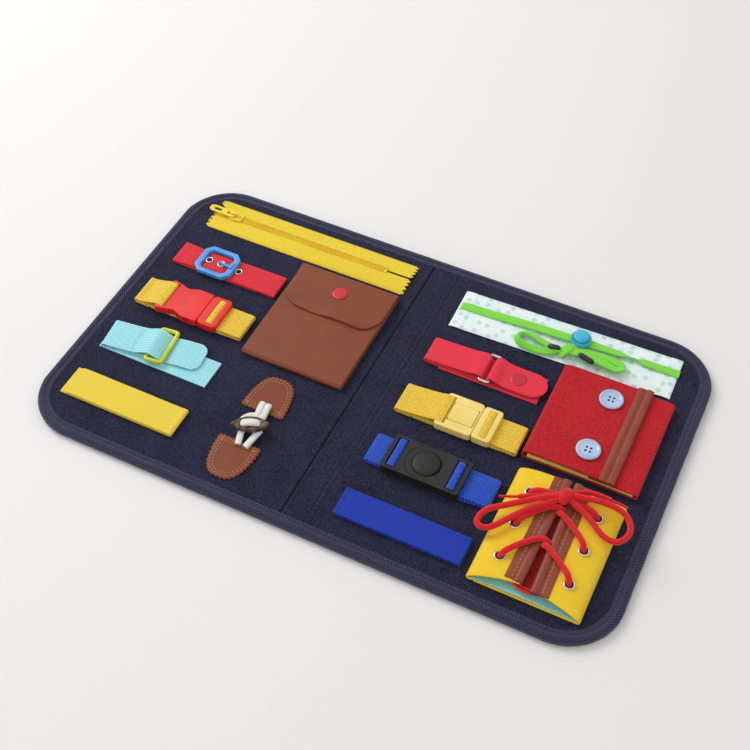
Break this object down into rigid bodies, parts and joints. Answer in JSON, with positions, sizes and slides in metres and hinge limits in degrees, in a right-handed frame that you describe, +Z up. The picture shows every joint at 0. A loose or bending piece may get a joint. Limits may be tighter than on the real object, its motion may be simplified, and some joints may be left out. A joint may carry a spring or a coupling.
{
  "type": "busy board",
  "caption": "Felt busy board that folds like a book, with a zipper, buckles, straps, a pouch, a toggle, a drawstring, a cardigan front and a laced shoe front.",
  "frame": {"origin": "middle of the underside of the open board, on the surface that it lies on", "axes": "+X along the open board's length, from the left cover to the right one; +Y away from the user, towards the far edge; +Z up through the activities"},
  "size_m": [0.424, 0.26, 0.0241],
  "materials": {
    "navy_felt": "felted wool and polyester, navy",
    "stiffener": "stiff non-woven board, hidden",
    "binding_twill": "grey-navy twill binding tape",
    "yellow_tape": "woven polyester zipper tape and coil",
    "yellow_enamel": "die-cast zinc, yellow enamel",
    "red_webbing": "woven polypropylene webbing, red",
    "eyelet_metal": "pressed eyelet, pale nickel",
    "blue_plastic": "moulded acetal, blue",
    "red_plastic": "moulded acetal, red",
    "yellow_webbing": "woven polypropylene webbing, yellow",
    "aqua_webbing": "hook-and-loop webbing, aqua",
    "lime_plastic": "moulded ring, lime yellow",
    "yellow_strip": "hook-and-loop strip, yellow",
    "brown_leather": "brown leather, fine grain",
    "snap_red": "moulded snap, red",
    "white_cord": "braided cotton cord, off-white",
    "dark_wood": "turned hardwood, dark brown",
    "dotted_cotton": null,
    "lime_cord": "flat braided cord, lime green",
    "cyan_plastic": "moulded cord lock, cyan blue",
    "red_felt_webbing": "hook-and-loop webbing, red",
    "steel_wire": "bent wire, bright nickel",
    "pale_yellow_plastic": "moulded acetal, pale yellow",
    "black_plastic": "moulded acetal, black",
    "blue_webbing": "woven polypropylene webbing, blue",
    "red_felt": "wool felt, red",
    "button_blue": "four-hole shirt button, light blue",
    "yellow_felt": "wool felt, yellow, lined in teal",
    "dark_red_felt": "felt, dark red",
    "red_lace": "round braided lace, red"
  },
  "bodies": {
    "right_cover": {"right_felts": "navy_felt", "right_stiffener": "stiffener", "right_binding": "binding_twill", "drawstring_strip": "dotted_cotton", "drawstring_cord": "lime_cord", "snap_webbing": "red_felt_webbing", "silver_ring": "steel_wire", "press_buckle_socket": "pale_yellow_plastic", "press_webbing": "yellow_webbing", "press_plug_webbing": "yellow_webbing", "round_buckle_right": "black_plastic", "round_webbing": "blue_webbing", "round_left_webbing": "blue_webbing", "blue_strip_base": "blue_webbing", "cardigan_body": "red_felt", "shoe_panels": "yellow_felt", "shoe_edge_strips": "brown_leather", "shoe_tongue": "dark_red_felt", "lace_eyelets": "eyelet_metal", "lace": "red_lace"},
    "spine": {"spine": "navy_felt"},
    "left_cover": {"left_felts": "navy_felt", "left_stiffener": "stiffener", "left_binding": "binding_twill", "zipper_tapes": "yellow_tape", "belt_webbing": "red_webbing", "belt_eyelets": "eyelet_metal", "belt_buckle_frame": "blue_plastic", "release_buckle_socket": "red_plastic", "release_webbing": "yellow_webbing", "release_plug_webbing": "yellow_webbing", "aqua_webbing": "aqua_webbing", "lime_ring": "lime_plastic", "yellow_strip_base": "yellow_strip", "pouch_body": "brown_leather", "toggle_patches": "brown_leather", "toggle_cords": "white_cord"},
    "zipper_slider": {"zipper_slider": "yellow_enamel"},
    "zipper_pull_tab": {"zipper_pull_tab": "yellow_enamel"},
    "belt_prong": {"belt_prong": "blue_plastic"},
    "release_plug": {"release_buckle_plug": "red_plastic", "release_buckle_arms": "red_plastic"},
    "aqua_tail": {"aqua_tail": "aqua_webbing"},
    "yellow_strip": {"yellow_strip_top": "yellow_strip"},
    "pouch_flap": {"pouch_flap": "brown_leather", "pouch_snap_cap": "snap_red"},
    "wooden_toggle": {"wooden_toggle": "dark_wood"},
    "cord_lock": {"cord_lock_body": "cyan_plastic", "drawstring_bow": "lime_cord"},
    "cord_lock_button": {"cord_lock_button": "cyan_plastic"},
    "snap_tongue": {"snap_tongue": "red_felt_webbing", "snap_cap": "snap_red"},
    "press_plug": {"press_buckle_plug": "pale_yellow_plastic"},
    "press_panel": {"press_buckle_panel": "pale_yellow_plastic"},
    "round_left": {"round_buckle_left": "black_plastic"},
    "round_button": {"round_buckle_button": "black_plastic"},
    "blue_strip": {"blue_strip_top": "blue_webbing"},
    "cardigan_flap": {"cardigan_flap": "red_felt", "cardigan_placket": "brown_leather", "cardigan_buttons": "button_blue"}
  },
  "joints": [
    {"name": "spine_fold", "type": "hinge", "parent": "right_cover", "child": "spine", "pos_m": [0.0095, 0, 0.0056], "axis": [0, -1, 0], "range_deg": [-87, 0]},
    {"name": "cover_fold", "type": "hinge", "parent": "spine", "child": "left_cover", "pos_m": [-0.0095, 0, 0.0056], "axis": [0, -1, 0], "range_deg": [-87, 0]},
    {"name": "zipper_slide", "type": "slide", "parent": "left_cover", "child": "zipper_slider", "axis": [1, 0, 0], "range_m": [0, 0.1234]},
    {"name": "pull_tab_flip", "type": "hinge", "parent": "zipper_slider", "child": "zipper_pull_tab", "pos_m": [-0.1711, 0.1007, 0.0098], "axis": [0, 1, 0], "range_deg": [0, 180]},
    {"name": "prong_lift", "type": "hinge", "parent": "left_cover", "child": "belt_prong", "pos_m": [-0.145, 0.0514, 0.01025], "axis": [0, 1, 0], "range_deg": [0, 110]},
    {"name": "release_buckle_slide", "type": "slide", "parent": "left_cover", "child": "release_plug", "axis": [1, 0, 0], "range_m": [0, 0.019], "deforming": ["release_buckle_arms", "release_plug_webbing"]},
    {"name": "aqua_tail_peel", "type": "hinge", "parent": "left_cover", "child": "aqua_tail", "pos_m": [-0.14432, -0.03754, 0.0099], "axis": [0.1132, -0.9936, 0], "range_deg": [0, 95]},
    {"name": "yellow_strip_peel", "type": "hinge", "parent": "left_cover", "child": "yellow_strip", "pos_m": [-0.10915, -0.0905, 0.0083], "axis": [0, 1, 0], "range_deg": [0, 120]},
    {"name": "pouch_flap_open", "type": "hinge", "parent": "left_cover", "child": "pouch_flap", "pos_m": [-0.06, 0.07505, 0.0116], "axis": [-1, 0, 0], "range_deg": [0, 150]},
    {"name": "toggle_turn", "type": "hinge", "parent": "left_cover", "child": "wooden_toggle", "pos_m": [-0.06, -0.0733, 0.0104], "axis": [0, 0, 1], "range_deg": [-60, 90]},
    {"name": "cord_lock_slide", "type": "slide", "parent": "right_cover", "child": "cord_lock", "axis": [0.9993, 0.0366, 0], "range_m": [-0.02, 0.02]},
    {"name": "cord_lock_press", "type": "slide", "parent": "cord_lock", "child": "cord_lock_button", "axis": [0, 0, -1], "range_m": [0, 0.0024], "stiffness_N_per_m": 500},
    {"name": "snap_tongue_open", "type": "hinge", "parent": "right_cover", "child": "snap_tongue", "pos_m": [0.0698, 0.044, 0.0096], "axis": [0, -1, 0], "range_deg": [0, 95]},
    {"name": "press_buckle_slide", "type": "slide", "parent": "right_cover", "child": "press_plug", "axis": [1, 0, 0], "range_m": [0, 0.009], "deforming": ["press_plug_webbing"]},
    {"name": "press_panel_press", "type": "slide", "parent": "right_cover", "child": "press_panel", "axis": [0, 0, -1], "range_m": [0, 0.0012], "stiffness_N_per_m": 800},
    {"name": "round_buckle_slide", "type": "slide", "parent": "right_cover", "child": "round_left", "axis": [-1, 0, 0], "range_m": [0, 0.0095], "deforming": ["round_left_webbing"]},
    {"name": "round_button_press", "type": "slide", "parent": "right_cover", "child": "round_button", "axis": [0, 0, -1], "range_m": [0, 0.0015], "stiffness_N_per_m": 800},
    {"name": "blue_strip_peel", "type": "hinge", "parent": "right_cover", "child": "blue_strip", "pos_m": [0.02435, -0.0979, 0.0083], "axis": [0, -1, 0], "range_deg": [0, 120]},
    {"name": "cardigan_flap_open", "type": "hinge", "parent": "right_cover", "child": "cardigan_flap", "pos_m": [0.11715, 0.0295, 0.0135], "axis": [0, -1, 0], "range_deg": [0, 135]}
  ]
}
